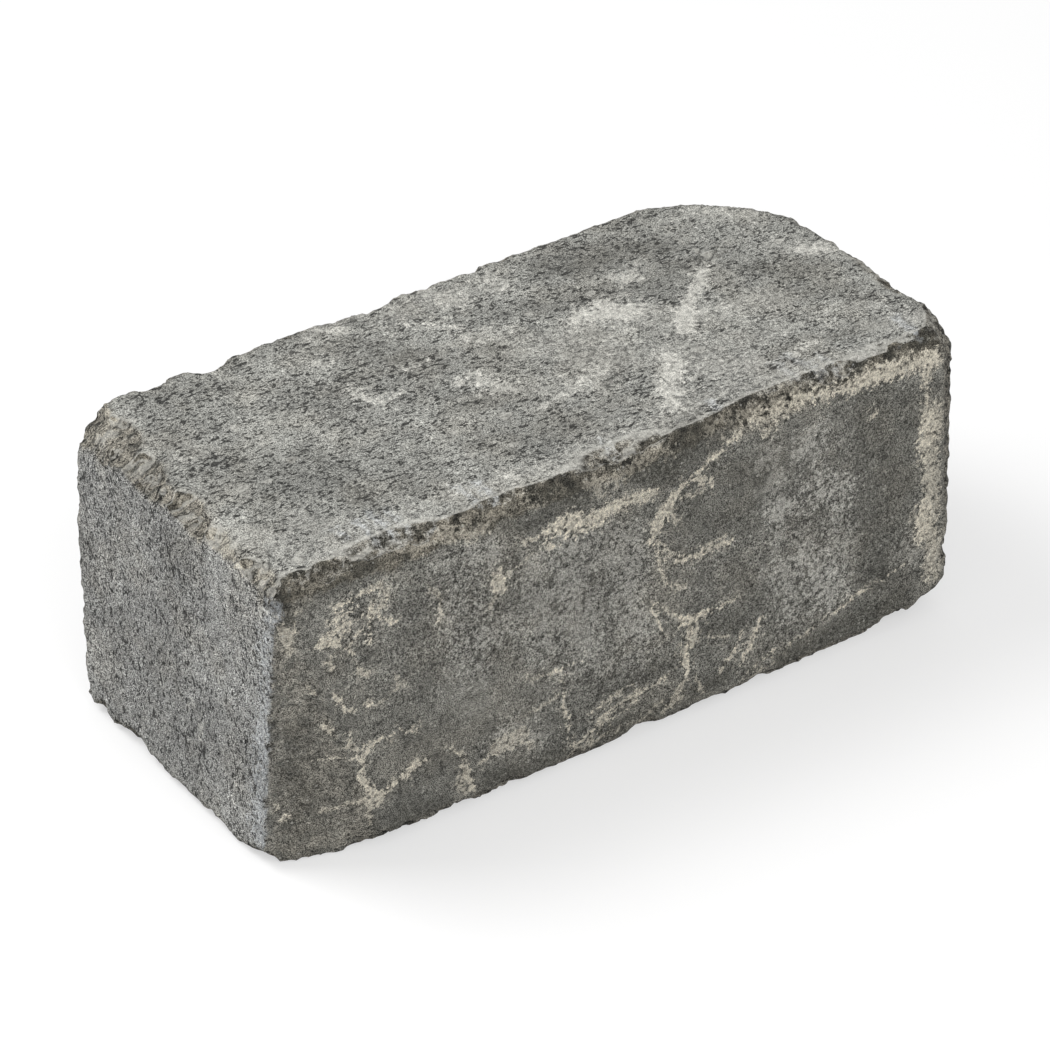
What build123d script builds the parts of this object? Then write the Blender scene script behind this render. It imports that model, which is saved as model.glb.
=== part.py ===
from build123d import *
import os
from math import sqrt

# A garden wall block: one piece of pressed concrete that was tumbled in a drum, so
# that its arrises and corners are worn and chipped. The origin is the centre of the
# bed face that it lies on, +X runs along its length and +Z is up. Its front is the
# long face towards -Y, and left and right are as seen from the front.

# Overall size, in millimetres
length = 300.0
width = 137.0
height = 127.0

# How far the middle of a worn face stands out past its ends
right_end_bow = 0.8
left_end_bow = 0.4
back_bow = 1.5

# A cutter reaches this far past the block, so that no skin is left
clear = 20.0

# The eight corners, each named by the side of the block that it is on along X, Y and Z
LEFT, RIGHT = -1, 1
FRONT, BACK = -1, 1
BED, TOP = -1, 1

# How far in along both faces each worn arris is rounded
worn_arrises = [
    ((LEFT, FRONT, BED), (LEFT, FRONT, TOP), 1.5),
    ((RIGHT, FRONT, BED), (RIGHT, FRONT, TOP), 4.0),
    ((RIGHT, BACK, BED), (RIGHT, BACK, TOP), 17.0),
    ((LEFT, BACK, BED), (LEFT, BACK, TOP), 5.5),
    ((LEFT, FRONT, TOP), (LEFT, BACK, TOP), 3.0),
    ((RIGHT, FRONT, TOP), (RIGHT, BACK, TOP), 9.0),
    ((LEFT, BACK, TOP), (RIGHT, BACK, TOP), 2.0),
    ((LEFT, FRONT, BED), (LEFT, BACK, BED), 3.0),
    ((RIGHT, FRONT, BED), (RIGHT, BACK, BED), 9.0),
    ((LEFT, FRONT, BED), (RIGHT, FRONT, BED), 3.0),
    ((LEFT, BACK, BED), (RIGHT, BACK, BED), 6.0),
]

# The round of an arris is this much larger than its reach, so that it meets the faces
# at a slight edge, as a worn one does
arris_flare = 1.02

# Each flat that is worn along an arris, as three places on it. A place is a corner, and
# how far it lies from there along X, Y and Z, into the block.
worn_flats = [
    # The front top arris, which is bevelled down the front
    [
        ((LEFT, FRONT, TOP), (0.0, 2.0, 0.0)),
        ((RIGHT, FRONT, TOP), (0.0, 2.0, 0.0)),
        ((LEFT, FRONT, TOP), (0.0, 0.0, 6.0)),
    ],
    # The front left upright arris, wide at the bed and nothing at the top
    [
        ((LEFT, FRONT, TOP), (0.0, 0.5, 0.0)),
        ((LEFT, FRONT, BED), (0.0, 14.0, 0.0)),
        ((LEFT, FRONT, BED), (44.0, 0.0, 0.0)),
    ],
    # The front right upright arris, wide at the top
    [
        ((RIGHT, FRONT, TOP), (10.0, 0.0, 0.0)),
        ((RIGHT, FRONT, BED), (3.0, 0.0, 0.0)),
        ((RIGHT, FRONT, TOP), (0.0, 7.5, 0.0)),
    ],
    # The front bed arris, wide at the right
    [
        ((LEFT, FRONT, BED), (0.0, 1.5, 0.0)),
        ((RIGHT, FRONT, BED), (0.0, 5.0, 0.0)),
        ((LEFT, FRONT, BED), (0.0, 0.0, 2.0)),
    ],
    # The right end of the front bed arris, which slants up to the corner
    [
        ((RIGHT, FRONT, BED), (38.0, 0.0, 0.0)),
        ((RIGHT, FRONT, BED), (0.0, 22.0, 0.0)),
        ((RIGHT, FRONT, BED), (0.0, 0.0, 15.0)),
    ],
    # The back top arris, wide at the right
    [
        ((LEFT, BACK, TOP), (0.0, 0.6, 0.0)),
        ((RIGHT, BACK, TOP), (0.0, 4.2, 0.0)),
        ((LEFT, BACK, TOP), (0.0, 0.0, 0.5)),
    ],
]

# Each corner that is worn to a ball: how far in along X, Y and Z the ball's centre
# lies, and how much of the sharp corner is gone
worn_corners = [
    ((LEFT, FRONT, TOP), (14.0, 12.0, 12.0), 3.5),
    ((RIGHT, FRONT, TOP), (30.0, 26.0, 30.0), 10.6),
    ((RIGHT, BACK, TOP), (70.0, 70.0, 60.0), 23.7),
    ((LEFT, BACK, TOP), (28.0, 28.5, 24.0), 9.3),
    ((LEFT, FRONT, BED), (24.0, 34.0, 20.0), 12.2),
    ((RIGHT, FRONT, BED), (36.0, 30.0, 32.0), 10.0),
    ((RIGHT, BACK, BED), (40.0, 40.0, 40.0), 12.0),
    ((LEFT, BACK, BED), (20.0, 20.0, 28.0), 5.4),
]

# Each chip knocked out of an arris: the corners that the arris runs between, how far
# the chip is from the first, its length and its depth from the sharp arris
chips = [
    ((LEFT, BACK, TOP), (LEFT, FRONT, TOP), 20.0, 16.0, 3.5),
    ((LEFT, BACK, TOP), (LEFT, FRONT, TOP), 55.0, 22.0, 5.0),
    ((LEFT, BACK, TOP), (LEFT, FRONT, TOP), 84.0, 15.0, 6.0),
    ((LEFT, BACK, TOP), (LEFT, FRONT, TOP), 104.0, 14.0, 3.5),
    ((LEFT, FRONT, TOP), (RIGHT, FRONT, TOP), 12.0, 14.0, 4.5),
    ((LEFT, FRONT, TOP), (RIGHT, FRONT, TOP), 98.0, 44.0, 3.2),
    ((LEFT, FRONT, TOP), (RIGHT, FRONT, TOP), 214.0, 60.0, 4.2),
    ((LEFT, BACK, TOP), (RIGHT, BACK, TOP), 59.0, 26.0, 3.0),
    ((LEFT, BACK, TOP), (RIGHT, BACK, TOP), 129.0, 26.0, 4.0),
    ((LEFT, FRONT, BED), (RIGHT, FRONT, BED), 33.0, 30.0, 5.0),
    ((LEFT, FRONT, BED), (RIGHT, FRONT, BED), 157.0, 18.0, 6.0),
    ((LEFT, FRONT, BED), (RIGHT, FRONT, BED), 272.0, 20.0, 8.0),
    ((LEFT, FRONT, BED), (LEFT, BACK, BED), 100.0, 24.0, 4.5),
    ((RIGHT, BACK, TOP), (RIGHT, FRONT, TOP), 47.0, 30.0, 6.0),
]


def at(corner, inset=(0.0, 0.0, 0.0)):
    """The place that lies so far along X, Y and Z into the block from a sharp corner."""
    half_sizes = (length / 2, width / 2, height / 2)
    sides = zip(corner, half_sizes, inset)
    return Vector(*(side * (half - way_in) for side, half, way_in in sides)) + Vector(0, 0, height / 2)


def bowed_side(start, end, bow):
    """A side of an outline that bulges by bow at its middle, to the right of its way."""
    if bow == 0:
        return Line(start, end)
    way = (Vector(*end) - Vector(*start)).normalized()
    middle = (Vector(*start) + Vector(*end)) / 2 + Vector(way.Y, -way.X) * bow
    return ThreePointArc(start, middle, end)


def pressed_block():
    """The block before its arrises wore down, with its bowed ends and back."""
    left, right = -length / 2 + left_end_bow, length / 2 - right_end_bow
    front, back = -width / 2, width / 2 - back_bow
    corners = [(left, front), (right, front), (right, back), (left, back)]
    bows = [0.0, right_end_bow, back_bow, left_end_bow]
    sides = [
        bowed_side(corners[i], corners[(i + 1) % 4], bow) for i, bow in enumerate(bows)
    ]
    return extrude(make_face(sides), height)


def round_off(block, centre, sides, spans, worn_form):
    """The block without what lies past a centre, on the given sides, out of a form."""
    middle = centre + Vector(*(side * span / 2 for side, span in zip(sides, spans)))
    return block - (Pos(middle) * Box(*spans) - worn_form)


def wear_arris(block, start, end, reach):
    """The block with one arris worn round from end to end."""
    across = [side if side == other else 0 for side, other in zip(start, end)]
    inset = [reach if side else 0 for side in across]
    arris = at(end) - at(start)
    centre = (at(start, inset) + at(end, inset)) / 2
    run = arris.length + 2 * clear
    spans = [reach + clear if side else run for side in across]
    rod = Plane(centre, z_dir=arris) * Cylinder(reach * arris_flare, run + 2 * clear)
    return round_off(block, centre, across, spans, rod)


def wear_flat(block, places):
    """The block cut off flat through three places on an arris."""
    first, second, third = (at(corner, inset) for corner, inset in places)
    flat = Plane(first, x_dir=second - first, z_dir=(second - first).cross(third - first))
    middle_side = flat.to_local_coords(Vector(0, 0, height / 2)).Z
    return split(block, bisect_by=flat, keep=Keep.TOP if middle_side > 0 else Keep.BOTTOM)


def wear_corner(block, corner, reach, lost):
    """The block with one corner worn to a ball that fades into the faces beside it."""
    centre = at(corner, reach)
    ball = Pos(centre) * Sphere(sqrt(sum(r * r for r in reach)) - lost)
    return round_off(block, centre, corner, [r + clear for r in reach], ball)


def chip_out(block, start, end, distance, chip_length, depth):
    """The block with a shell-shaped chip knocked out of an arris."""
    arris = at(end) - at(start)
    outward = (at(start) + at(end) - Vector(0, 0, height)).normalized()
    ball_radius = (chip_length * chip_length / 4 + depth * depth) / (2 * depth)
    centre = at(start) + arris.normalized() * distance + outward * (ball_radius - depth)
    return block - Pos(centre) * Sphere(ball_radius)


def wall_block():
    """The whole block."""
    block = pressed_block()
    for arris in worn_arrises:
        block = wear_arris(block, *arris)
    for places in worn_flats:
        block = wear_flat(block, places)
    for corner, reach, lost in worn_corners:
        block = wear_corner(block, corner, reach, lost)
    for chip in chips:
        block = chip_out(block, *chip)
    return block


os.makedirs("parts", exist_ok=True)
block = wall_block()
export_step(block, "parts/wall_block.step")
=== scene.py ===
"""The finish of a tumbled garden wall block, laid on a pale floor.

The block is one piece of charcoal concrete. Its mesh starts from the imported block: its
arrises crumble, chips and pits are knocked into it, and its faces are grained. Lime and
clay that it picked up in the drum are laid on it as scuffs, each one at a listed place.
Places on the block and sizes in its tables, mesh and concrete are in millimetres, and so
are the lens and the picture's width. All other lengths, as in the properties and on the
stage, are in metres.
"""

import math
import random

import bpy
import numpy as np
from bpy.props import FloatProperty, FloatVectorProperty, IntProperty, PointerProperty
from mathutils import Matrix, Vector, noise


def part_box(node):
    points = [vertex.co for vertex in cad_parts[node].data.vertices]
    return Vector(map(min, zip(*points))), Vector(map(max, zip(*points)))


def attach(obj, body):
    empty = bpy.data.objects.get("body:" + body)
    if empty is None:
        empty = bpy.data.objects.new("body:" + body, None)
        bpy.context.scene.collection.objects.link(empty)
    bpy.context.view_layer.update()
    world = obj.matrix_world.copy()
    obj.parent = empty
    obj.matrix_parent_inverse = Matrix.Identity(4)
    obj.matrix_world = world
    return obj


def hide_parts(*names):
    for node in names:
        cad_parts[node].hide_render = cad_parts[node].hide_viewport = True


bl_info = {
    "name": "Garden Wall Block",
    "version": (1, 0, 0),
    "blender": (4, 5, 0),
    "location": "View3D > Sidebar > Wall Block",
    "description": "Wears and finishes a tumbled concrete wall block",
    "category": "Object",
}

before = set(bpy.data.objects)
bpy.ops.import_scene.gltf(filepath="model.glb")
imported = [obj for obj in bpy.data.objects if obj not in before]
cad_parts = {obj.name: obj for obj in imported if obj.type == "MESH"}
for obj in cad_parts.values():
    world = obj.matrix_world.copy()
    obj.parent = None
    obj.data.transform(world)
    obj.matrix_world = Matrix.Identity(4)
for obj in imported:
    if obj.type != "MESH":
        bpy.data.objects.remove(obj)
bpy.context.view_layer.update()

MM = 0.001
NODE = "wall_block"
PIECE = "wall_block_stone"

low_corner, high_corner = (np.array(corner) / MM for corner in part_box(NODE))
half_size = (high_corner - low_corner) / 2
middle = (high_corner + low_corner) / 2

X, Y, Z = 0, 1, 2

# Past this distance from a stroke, nothing of it is laid
farthest = 12.0

# Keeps a share from being divided by nothing
tiny = 0.001

# Each square counts as two of the 200,000 triangles that the block may have
most_squares = 100_000


def srgb(red, green, blue):
    """A colour, as it looks on a screen from 0 to 255, in Blender's linear values."""
    parts = (part / 255 for part in (red, green, blue))
    return tuple(p / 12.92 if p <= 0.04045 else ((p + 0.055) / 1.055) ** 2.4 for p in parts)


# The arrises: which way each runs, and on which side of the block it lies along the
# other two axes. Then how wide it has crumbled on the first and second of those, and how
# unevenly, from 0 to 1.
arrises = [
    (X, {Y: -1, Z: 1}, 1.6, 4.4, 0.9),
    (X, {Y: 1, Z: 1}, 3.0, 1.8, 0.9),
    (X, {Y: -1, Z: -1}, 3.4, 3.4, 1.0),
    (X, {Y: 1, Z: -1}, 3.4, 3.0, 0.8),
    (Y, {X: -1, Z: 1}, 6.4, 3.2, 1.0),
    (Y, {X: 1, Z: 1}, 5.5, 4.5, 0.8),
    (Y, {X: -1, Z: -1}, 3.2, 2.8, 0.9),
    (Y, {X: 1, Z: -1}, 4.5, 4.0, 0.8),
    (Z, {X: -1, Y: -1}, 0.8, 0.8, 0.6),
    (Z, {X: 1, Y: -1}, 3.0, 2.4, 0.6),
    (Z, {X: -1, Y: 1}, 2.6, 2.6, 0.8),
    (Z, {X: 1, Y: 1}, 6.0, 6.0, 0.6),
]

# Where the front top arris dips or is set back: place along X, half the stretch, and how
# far the top dips and the front is set back there
front_top_waves = [
    (-138, 12, 1.0, 3.0),
    (-102, 22, 3.6, 0.0),
    (-60, 24, 0.0, 2.4),
    (-4, 24, 3.4, 0.0),
    (60, 34, 0.0, 5.0),
    (112, 20, 1.4, 1.0),
    (136, 14, 0.0, 2.6),
]

# How far in from the arris a dip and a set-back fade out
dip_reach, set_back_reach = 9, 13

# Small chips and pits are strewn with a length or width between these, and a depth
# between these shares of it
strewn_chip_lengths, strewn_chip_shares = (4.0, 12.0), (0.1, 0.22)
strewn_pit_widths, strewn_pit_shares = (2.4, 5.0), (0.1, 0.26)

# How far out along its arris, as a share, and how far in from it a strewn chip may be
strewn_end, strewn_inset = 0.97, 2.5

# The most that chips dig in together
deepest_chip = 3.0

# Chips out of the arrises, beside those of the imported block: the place of each chip's
# middle on the sharp block, its length and its depth
chips = [
    ((-144, 54, 127), 22, 2.6), ((-142, 37, 127), 20, 2.8), ((-143, 22, 127), 20, 2.8),
    ((-147, 6, 127), 14, 2.0), ((-143, -6, 127), 14, 2.2), ((-149, -28, 127), 14, 2.0),
    ((-149, -48, 127), 14, 2.0), ((-148, -60, 127), 12, 2.4), ((-143, -68.5, 125), 12, 3.4),
    ((-60, -68.5, 126), 9, 3.0), ((118, -68.5, 127), 9, 3.2), ((-118, -68.5, 0), 12, 4.0),
    ((-61, -68.5, 0), 9, 2.6), ((-30, -68.5, 0), 7, 2.2), ((42, -68.5, 0), 12, 2.8),
    ((88, -68.5, 0), 10, 3.2), ((-150, -20, 0), 14, 3.4), ((-150, 40, 0), 12, 4.0),
    ((-37, 68.5, 127), 12, 3.0), ((20, 68.5, 127), 9, 2.4), ((150, 12, 127), 10, 5.0),
    ((150, -30, 127), 8, 4.4),
]

# Open pits in the faces: place, width and depth
pits = [
    ((-101, -5, 127), 4.4, 1.8), ((-104, 9, 127), 3.6, 1.2), ((-133, 48, 127), 3.6, 1.2),
    ((-117, -20, 127), 3.6, 1.2), ((-86, 22, 127), 3.4, 1.0), ((-44, -23, 127), 3.8, 1.2),
    ((-75, -2, 127), 3.6, 1.0), ((-58, -12, 127), 3.4, 1.0), ((52, 10, 127), 3.4, 1.2),
    ((101, 23, 127), 4.6, 2.0), ((14, -34, 127), 4.0, 1.2), ((33, -37, 127), 3.4, 1.0),
    ((26, -24, 127), 3.4, 1.0), ((131, 1, 127), 3.2, 1.0), ((-150, 43, 36), 3.8, 1.6),
    ((-150, 30, 29), 4.4, 1.4), ((-150, 24, 33), 3.6, 1.0), ((-150, 29, 23), 3.4, 1.0),
    ((-150, -8, 109), 3.4, 1.2), ((-150, -13, 102), 3.2, 1.0), ((-150, 23, 100), 3.2, 1.0),
    ((-150, -16, 90), 3.0, 1.0), ((-150, -33, 65), 2.8, 0.9), ((133, -68.5, 110), 4.0, 1.2),
    ((143, -68.5, 82), 3.6, 0.9),
]

# The scuffs on each face, as strokes: where each starts and ends on the face, half its
# width, and how thickly it lies, from 0 to 1. On the front a place is (x, z).
front_clay = [
    # The cluster at the top left
    ((-125, 109.5), (-116, 111), 0.5, 0.9), ((-116, 111), (-107, 112), 0.6, 0.8),
    ((-127, 105), (-118, 106.5), 0.5, 0.8), ((-130, 99), (-122, 101.5), 0.7, 0.9),
    ((-122, 101.5), (-115, 103), 0.4, 0.7), ((-131, 97), (-126, 95.5), 1.6, 1.0),
    ((-126, 97), (-121, 99), 0.6, 0.8), ((-110, 105), (-112, 97), 0.5, 1.0),
    ((-112, 97), (-112, 90), 0.8, 0.95), ((-112, 102), (-107, 103), 0.5, 0.7),
    ((-107, 98), (-102, 95), 0.5, 0.8), ((-114, 98), (-118, 94), 0.4, 0.7),
    ((-106, 112), (-104, 107), 0.6, 0.5), ((-146, 108), (-143, 98), 1.5, 0.5),
    ((-141, 113), (-143, 104), 0.5, 0.6),
    # Single dabs on the left
    ((-120, 91), (-119, 89), 1.1, 0.8), ((-128, 88), (-127, 86), 1.2, 0.7),
    ((-125, 73), (-124, 71), 1.1, 0.8), ((-121, 66), (-120, 65), 0.9, 0.8),
    ((-113, 66), (-112.5, 64.5), 0.8, 0.9), ((-129, 61), (-127, 58.5), 1.1, 0.8),
    ((-136, 79), (-134, 77), 0.9, 0.5), ((-116, 80), (-114, 78), 1.0, 0.5),
    ((-101, 70), (-99, 67), 0.9, 0.4), ((-109, 62), (-100, 66), 0.5, 0.4),
    ((-86, 102), (-82, 97), 0.9, 0.5), ((-82, 97), (-82.5, 89), 0.9, 0.5),
    ((-58, 96), (-57, 91), 2.4, 0.75), ((-57, 91), (-60, 86), 1.2, 0.4),
    # The wide smear under the bevel
    ((-46, 106), (-35, 106), 0.9, 0.6), ((-12, 106), (-4, 104), 1.0, 0.6),
    ((-22, 101), (-14, 100.5), 1.2, 0.6), ((-37, 101.5), (-36, 100.5), 0.9, 0.9),
    ((-52, 96), (-44, 100), 0.3, 0.5),
    # The long curve that comes down from the band
    ((58, 120), (47, 115), 0.6, 0.9), ((47, 115), (33, 109.5), 0.6, 0.95),
    ((33, 109.5), (24, 105), 0.8, 0.95), ((24, 105), (18, 100), 1.1, 0.9),
    ((18, 100), (13, 95), 2.2, 0.85), ((13, 95), (11, 91), 2.6, 0.85),
    ((11, 91), (8, 86.5), 1.3, 0.8), ((16, 98), (19, 91), 1.0, 0.6),
    ((26, 104), (33, 102.5), 1.3, 0.8), ((33, 102.5), (34, 100), 1.0, 0.7),
    ((24, 98), (30, 99), 0.7, 0.5), ((8, 86), (11, 79), 0.35, 0.9),
    ((11, 79), (14, 71), 0.35, 0.8), ((14, 71), (17, 61), 0.4, 0.7),
    ((10, 86), (17, 77), 0.9, 0.6), ((15, 78), (20, 76), 0.6, 0.5),
    ((23, 72), (30, 71), 1.5, 0.9), ((30, 71), (43, 70.5), 0.7, 0.8),
    ((27, 74.5), (41, 74), 0.5, 0.5), ((14, 65), (22, 60.5), 0.7, 0.6),
    ((7, 60), (13, 55), 0.7, 0.8), ((13, 55), (20, 49), 0.5, 0.6),
    ((9, 57), (15, 42), 0.4, 0.7),
    # The forked mark under it
    ((24, 44), (32, 44), 1.7, 1.0), ((32, 44.5), (46, 45), 0.7, 0.8),
    ((27, 43), (26, 34), 1.7, 0.95), ((29, 38), (28, 34), 1.6, 0.6),
    ((25, 31), (24.5, 25), 1.7, 1.0), ((25, 25), (25, 19), 1.1, 0.95),
    ((25, 19), (20, 12), 0.9, 0.6), ((22, 10), (17, 8), 1.2, 0.6),
    ((30, 17), (33, 10), 0.8, 0.5), ((50, 27), (47, 20), 0.8, 0.9),
    ((47, 20), (42, 16), 0.9, 0.8), ((59, 31), (56, 24), 0.7, 1.0),
    ((56, 24), (51, 15), 0.5, 0.9), ((35, 33), (43, 30), 0.6, 0.6),
    # Slanting lines at the foot
    ((-17, 20), (0, 26), 0.4, 0.6), ((-13, 15.5), (-4, 19), 0.6, 0.7),
    ((-4, 19), (4, 20), 0.9, 0.8), ((6, 21), (16, 22.5), 0.8, 0.85),
    ((1, 18), (3, 22), 1.0, 0.7), ((-23, 10), (-8, 13.5), 0.5, 0.7),
    ((-8, 13.5), (2, 16), 0.4, 0.5), ((-22, 6), (-6, 8), 0.6, 0.4),
    ((4, 8), (14, 12), 0.8, 0.5), ((73, 14.5), (82, 17.5), 0.4, 0.7),
    ((82, 17.5), (90, 20), 0.4, 0.4), ((92, 20), (108, 24.5), 0.5, 0.85),
    ((108, 24.5), (125, 29), 0.4, 0.75), ((53, 9.5), (66, 14), 0.5, 0.7),
    ((56, 6), (64, 8), 0.8, 0.5),
    # The winding mark at the bottom left
    ((-113, 47), (-115, 40), 0.9, 0.85), ((-115, 40), (-116, 33), 1.1, 0.9),
    ((-116, 33), (-113, 27), 1.2, 0.9), ((-113, 27), (-110, 22), 2.0, 0.95),
    ((-112, 23), (-120, 23.5), 0.9, 0.85), ((-120, 23.5), (-128, 21), 0.7, 0.6),
    ((-114, 20), (-112, 12), 1.0, 0.6), ((-112, 47.5), (-107, 47.5), 0.6, 0.7),
    ((-107, 47.5), (-104, 45), 0.5, 0.7), ((-100, 48), (-94, 45), 0.7, 0.8),
    ((-94, 46), (-93, 48), 0.5, 0.6), ((-105, 24.5), (-98, 27), 0.9, 0.9),
    ((-98, 27), (-94, 30), 1.4, 0.95), ((-94, 30), (-90, 31), 0.6, 0.7),
    ((-120, 55), (-119, 49), 0.4, 0.6), ((-121, 49), (-117, 46), 0.9, 0.6),
    ((-133, 47), (-118, 43), 0.25, 0.8),
    # Blotches between the two
    ((-79, 31), (-74, 25), 0.4, 0.7), ((-74, 25), (-71, 19), 0.9, 0.7),
    ((-72, 20), (-70, 11), 1.7, 0.8), ((-75, 14), (-73, 10), 1.0, 0.5),
    ((-64, 19), (-50, 20), 0.6, 0.6), ((-58, 23), (-48, 24), 2.6, 0.5),
    ((-48, 21), (-45, 18), 1.0, 0.5), ((-31, 39), (-30, 28), 0.4, 0.7),
    ((-30, 28), (-28, 22), 0.7, 0.8), ((-28, 20), (-27.5, 16), 0.6, 0.9),
    ((-25, 12), (-25.5, 5), 0.7, 0.7), ((-35, 45), (-23, 45.5), 0.4, 0.6),
    ((-43, 47), (-37, 46), 0.5, 0.5), ((-44, 32), (-33, 33), 0.5, 0.45),
    # White stones
    ((108, 100), (108.5, 100.5), 0.9, 1.0), ((-141, 21.5), (-140.5, 21), 0.9, 1.0),
    ((-142.5, 22), (-142.3, 22.2), 0.5, 0.9), ((-146, 28), (-146, 28.5), 0.6, 0.9),
]

# The wider and softer smears of clay
front_band = [
    # Under the bevel
    ((-35, 107), (-24, 107), 2.6, 0.9), ((-26, 104), (-13, 105), 2.8, 0.9),
    ((-7, 107), (7, 106), 2.0, 0.75),
    # The band along the right half of the bevel
    ((60, 119), (72, 119.5), 1.8, 0.9), ((59, 114), (66, 116), 1.4, 0.7),
    ((60, 112.5), (62, 115), 1.2, 0.7), ((72, 119.5), (100, 119), 2.2, 1.0),
    ((100, 119), (118, 118.5), 3.2, 1.0), ((116, 118), (134, 116), 3.2, 1.0),
    ((64, 122.5), (90, 122.5), 1.0, 0.5),
    # The strip along the right end
    ((132, 116), (133, 103), 2.0, 0.8), ((133, 103), (132.5, 92), 1.6, 0.7),
    ((134, 90), (134, 80), 3.8, 1.0), ((133, 80), (134, 73), 2.6, 0.8),
    ((137, 92), (138, 75), 2.2, 0.6), ((135, 73), (136, 58), 3.0, 0.6),
    ((138, 66), (140, 50), 2.2, 0.5), ((134, 51), (134, 42), 3.8, 1.0),
    ((137, 46), (138, 38), 2.8, 0.7), ((138, 38), (139, 22), 3.8, 0.6),
    ((141, 32), (141, 18), 2.0, 0.5),
]

# Clay on the bevel under the front top arris
bevel_clay = [
    ((-136, 126), (-134, 124), 1.4, 0.6), ((-132, 121), (-126, 124), 1.6, 0.35),
    ((-98, 124), (-92, 126), 1.6, 0.6), ((-92, 122), (-86, 126), 2.0, 0.6),
    ((-78, 122), (-68, 119), 2.8, 0.8), ((-70, 123), (-64, 120), 2.0, 0.7),
    ((-60, 124), (-52, 121), 2.4, 0.5), ((-47, 125), (-41, 120), 0.8, 0.6),
    ((-18, 120), (-8, 118), 2.2, 0.75), ((-16, 116), (-12, 114), 1.2, 0.6),
    ((-6, 121), (14, 122), 1.6, 0.65), ((36, 121), (46, 122), 2.2, 0.65),
    ((46, 122), (58, 122), 2.0, 0.7),
]

# Pale dusting, thin and wide
front_dust = [
    ((-78, 112), (-64, 106), 4.0, 0.6), ((-76, 92), (-68, 86), 4.0, 0.5),
    ((-74, 78), (-58, 72), 3.6, 0.55), ((-76, 63), (-68, 61), 2.6, 0.55),
    ((-44, 92), (-36, 60), 6.0, 0.5), ((-30, 98), (-6, 90), 6.0, 0.6),
    ((-26, 84), (-22, 50), 8.0, 0.6), ((-6, 86), (2, 50), 7.0, 0.65),
    ((4, 44), (6, 36), 2.4, 0.5), ((60, 100), (66, 84), 4.0, 0.5),
    ((78, 100), (82, 84), 3.6, 0.75), ((68, 78), (92, 74), 5.0, 0.9),
    ((68, 60), (88, 56), 3.0, 0.4), ((68, 50), (74, 34), 5.0, 0.65),
    ((80, 52), (90, 30), 6.0, 1.0), ((94, 60), (96, 46), 3.0, 0.4),
    ((-56, 24), (-44, 22), 4.0, 0.6), ((-12, 40), (-4, 36), 3.0, 0.4),
    ((-128, 104), (-108, 98), 7.0, 0.25), ((126, 36), (134, 30), 4.0, 0.5),
]

# Dark patches, and a painted shadow under the crest of the front top arris
front_dark = [
    ((-148, 122), (-144, 112), 3.0, 1.0), ((-149, 108), (-149, 60), 1.4, 0.8),
    ((-134, 119), (-110, 121), 3.0, 0.7), ((-108, 120), (-84, 118), 2.4, 0.5),
    ((-62, 118), (-50, 116), 3.0, 0.7), ((-50, 112), (-38, 114), 3.0, 0.75),
    ((-34, 120), (-22, 118), 4.0, 1.0), ((-32, 113), (-22, 112), 2.4, 0.8),
    ((0, 118), (16, 112), 4.0, 1.0), ((8, 110), (22, 106), 2.4, 0.8),
    ((18, 116), (34, 121), 3.6, 0.9), ((24, 112), (40, 116), 2.4, 0.6),
    # These two are painted shadow: a thin dark line under the crest
    ((64, 125), (100, 126), 1.4, 0.7), ((100, 124), (134, 123), 2.6, 0.8),
    ((-54, 100), (-46, 82), 5.0, 0.5), ((24, 94), (52, 80), 8.0, 0.45),
    ((36, 104), (56, 96), 6.0, 0.45), ((108, 108), (114, 30), 9.0, 0.5),
    ((122, 100), (124, 40), 7.0, 0.45), ((-142, 58), (-138, 20), 7.0, 0.45),
    ((-10, 28), (22, 28), 4.0, 0.5), ((34, 37), (48, 34), 3.6, 0.6),
    ((46, 60), (56, 40), 4.0, 0.4), ((-100, 8), (-84, 8), 4.0, 0.7),
    ((-60, 9), (-34, 8), 4.0, 0.8), ((72, 8), (124, 14), 5.0, 0.8),
    ((-10, 8), (40, 12), 4.0, 0.8), ((-96, 44), (-88, 30), 6.0, 0.3),
]

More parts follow.
